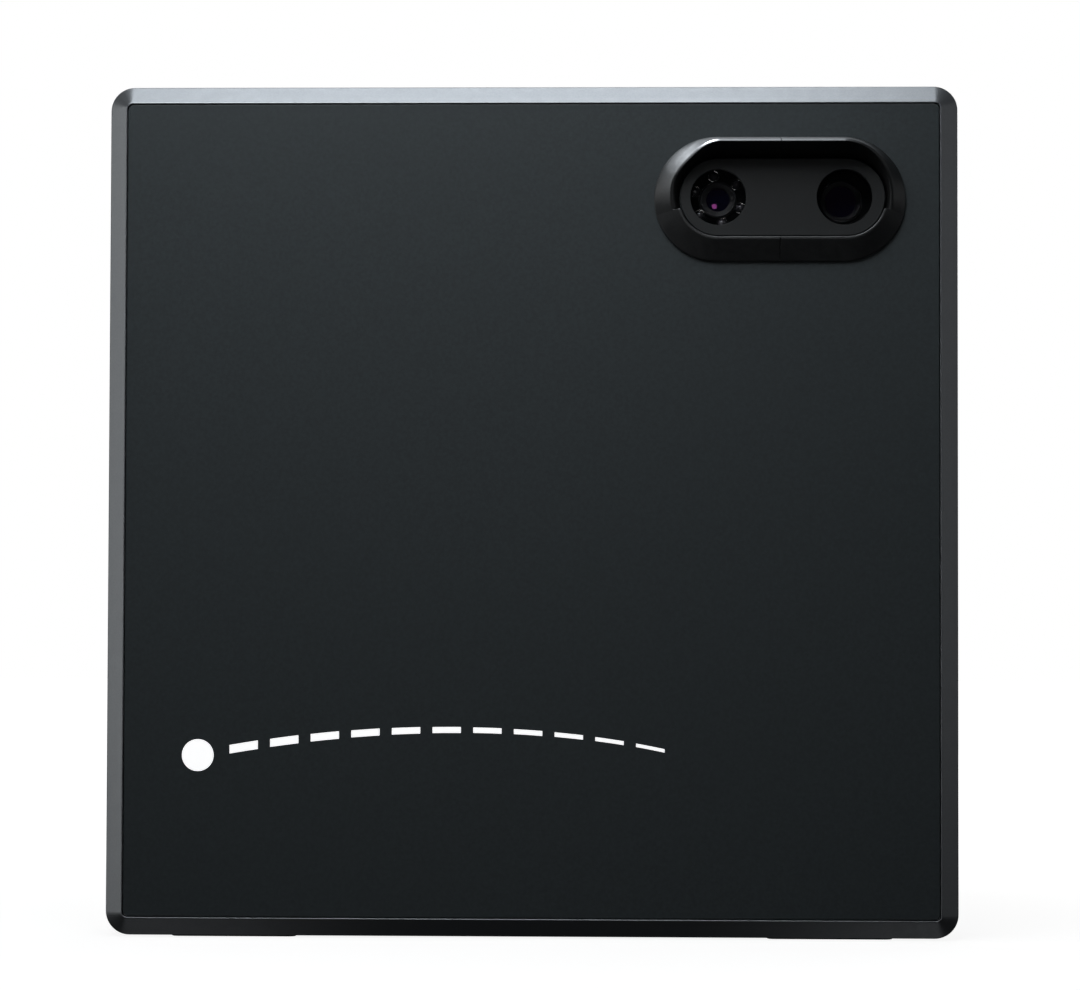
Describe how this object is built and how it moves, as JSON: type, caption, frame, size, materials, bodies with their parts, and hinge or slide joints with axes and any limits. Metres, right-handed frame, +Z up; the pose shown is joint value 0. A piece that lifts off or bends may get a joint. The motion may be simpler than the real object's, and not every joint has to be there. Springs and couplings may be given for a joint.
{
  "type": "launch monitor",
  "caption": "Square panel golf launch monitor with hooded camera windows, finned back, port door, power button and a folding rear leg with a levelling foot.",
  "frame": {"origin": "on the ground plane, at the middle of the unit's footprint with the rear leg folded out", "axes": "+Z up, the camera face looks along -Y, +X to the right of someone who faces the cameras"},
  "size_m": [0.3, 0.1629, 0.3005],
  "materials": {
    "radome_plastic": "fine matt texture",
    "bezel_metal": "satin anodised",
    "housing_metal": "satin anodised",
    "cover_metal": "bead-blasted, dark",
    "hood_plastic": "satin black",
    "window_plate": "satin",
    "clear_glass": "clear",
    "lens_glass": "coated",
    "led_epoxy": "clear epoxy",
    "baffle_black": "flat black",
    "board_green": "solder mask",
    "shield_metal": "brushed",
    "heat_sink_metal": "black anodised",
    "battery_wrap": "shrink wrap",
    "steel": "bright",
    "brass": "turned",
    "leg_metal": "satin anodised",
    "rubber": "matt",
    "connector_metal": "nickel",
    "connector_plastic": "moulded",
    "display_black": "glossy",
    "cable_red": "insulation",
    "ribbon_amber": "polyimide"
  },
  "bodies": {
    "unit": {"ball_radar_board": "board_green", "battery_frame": "connector_plastic", "battery_lead": "cable_red", "battery_pack": "battery_wrap", "camera_bracket": "shield_metal", "camera_glass": "clear_glass", "camera_hood_left": "hood_plastic", "camera_hood_right": "hood_plastic", "camera_ribbon": "ribbon_amber", "camera_sensor_board": "board_green", "camera_window_plate": "window_plate", "club_radar_board": "board_green", "control_board": "board_green", "cover_screw_1": "steel", "cover_screw_2": "steel", "cover_screw_3": "steel", "cover_screw_4": "steel", "cover_screw_5": "steel", "cover_screw_6": "steel", "display_window": "clear_glass", "ethernet_jack": "connector_metal", "front_bezel": "bezel_metal", "front_foot_left": "rubber", "front_foot_right": "rubber", "heat_sink": "heat_sink_metal", "heat_spreader": "shield_metal", "housing_frame": "housing_metal", "infrared_led_1": "led_epoxy", "infrared_led_2": "led_epoxy", "infrared_led_3": "led_epoxy", "infrared_led_4": "led_epoxy", "infrared_led_5": "led_epoxy", "infrared_led_6": "led_epoxy", "led_ring_board": "board_green", "leg_bracket": "steel", "leg_pin": "steel", "light_baffle": "baffle_black", "main_board": "board_green", "port_board": "board_green", "port_door_pin": "steel", "power_jack": "connector_plastic", "radar_shield": "shield_metal", "radome": "radome_plastic", "radome_gasket": "rubber", "rear_cover": "cover_metal", "rear_gasket": "rubber", "status_display": "display_black", "tracking_lens_barrel": "baffle_black", "tracking_lens_glass": "lens_glass", "tripod_insert": "brass", "usb_jack": "connector_metal", "video_lens_barrel": "baffle_black", "video_lens_glass": "lens_glass", "wireless_antenna": "board_green"},
    "leg": {"rear_leg": "leg_metal"},
    "leveling_wheel": {"leveling_wheel": "connector_plastic"},
    "leveling_foot": {"leveling_screw": "steel", "leveling_foot_pad": "rubber"},
    "power_button": {"power_button": "hood_plastic"},
    "port_door": {"port_door": "cover_metal"}
  },
  "joints": [
    {"name": "leg_hinge", "type": "hinge", "parent": "unit", "child": "leg", "pos_m": [0, -0.0275, 0.0105], "axis": [1, 0, 0], "range_deg": [0, 90]},
    {"name": "leveling_wheel_spin", "type": "hinge", "parent": "leg", "child": "leveling_wheel", "pos_m": [0, 0.0685, 0.0105], "axis": [0, 0, -1], "range_deg": [-145, 1441]},
    {"name": "leveling_foot_slide", "type": "slide", "parent": "leg", "child": "leveling_foot", "axis": [0, 0, -1], "range_m": [-0.0006, 0.006]},
    {"name": "power_button_press", "type": "slide", "parent": "unit", "child": "power_button", "axis": [0, 0, -1], "range_m": [0, 0.001], "stiffness_N_per_m": 400, "springref_m": -0.002},
    {"name": "port_door_hinge", "type": "hinge", "parent": "unit", "child": "port_door", "pos_m": [-0.1332, -0.0247, 0.04], "axis": [0, 0, 1], "range_deg": [0, 110]}
  ],
  "couplings": [
    {"joint": "leveling_wheel_spin", "follows": "leveling_foot_slide", "rad_per_m": 4188.8}
  ]
}
